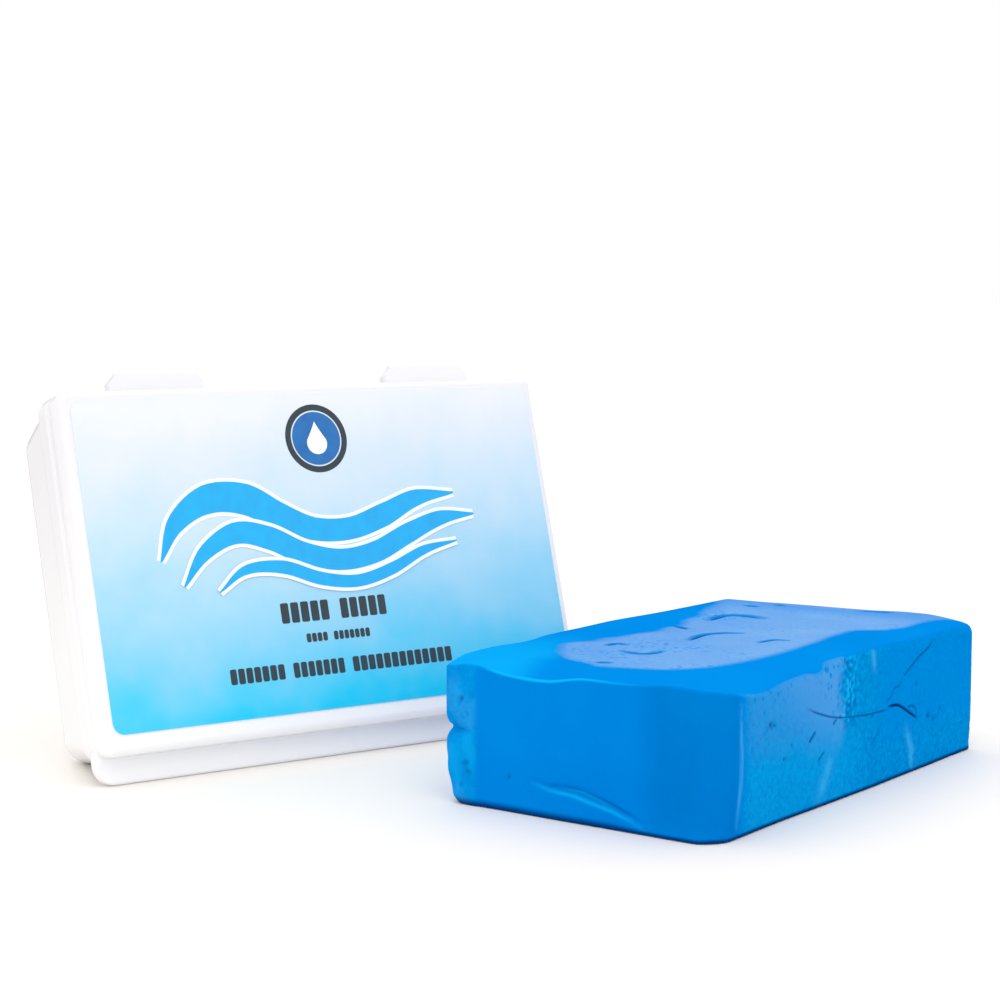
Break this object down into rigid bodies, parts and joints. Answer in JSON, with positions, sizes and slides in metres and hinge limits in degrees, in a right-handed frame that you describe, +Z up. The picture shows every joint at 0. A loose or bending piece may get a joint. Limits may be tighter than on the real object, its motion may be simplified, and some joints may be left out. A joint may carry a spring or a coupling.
{
  "type": "clay bar with storage case",
  "caption": "Rectangular block of blue detailing clay in front of its frosted, labelled snap case, which stands leaning back and opens on living hinges.",
  "frame": {"origin": "middle of the clay bar's underside, on the surface that bar and case stand on", "axes": "+X along the case's width, +Z up, +Y from the bar back to the case; the case's label faces -Y and upward"},
  "size_m": [0.1552, 0.1371, 0.0737],
  "materials": {
    "clay": "satin, waxy, with fine pores and pressed dents",
    "case": "frosted translucent polypropylene",
    "hinge_film": "thin flexed polypropylene, whiter than the walls",
    "label": "printed film, white at the top to cyan at the foot"
  },
  "bodies": {
    "lid": {"case_lid": "case", "hinge_left_lid_leaf": "case", "hinge_right_lid_leaf": "case", "hinge_left_web": "hinge_film", "hinge_right_web": "hinge_film", "latch_lip": "case", "label": "label"},
    "tray": {"case_base": "case", "hinge_left_base_leaf": "case", "hinge_right_base_leaf": "case", "latch_bead": "case"},
    "bar": {"clay_bar": "clay"}
  },
  "joints": [
    {"name": "case_hinge", "type": "hinge", "parent": "lid", "child": "tray", "pos_m": [-0.0476, 0.07644, 0.07316], "axis": [1, 0, 0], "range_deg": [0, 180]},
    {"name": "bar_lift", "type": "slide", "parent": "lid", "child": "bar", "axis": [0, 0, 1], "range_m": [0, 0.09]}
  ]
}
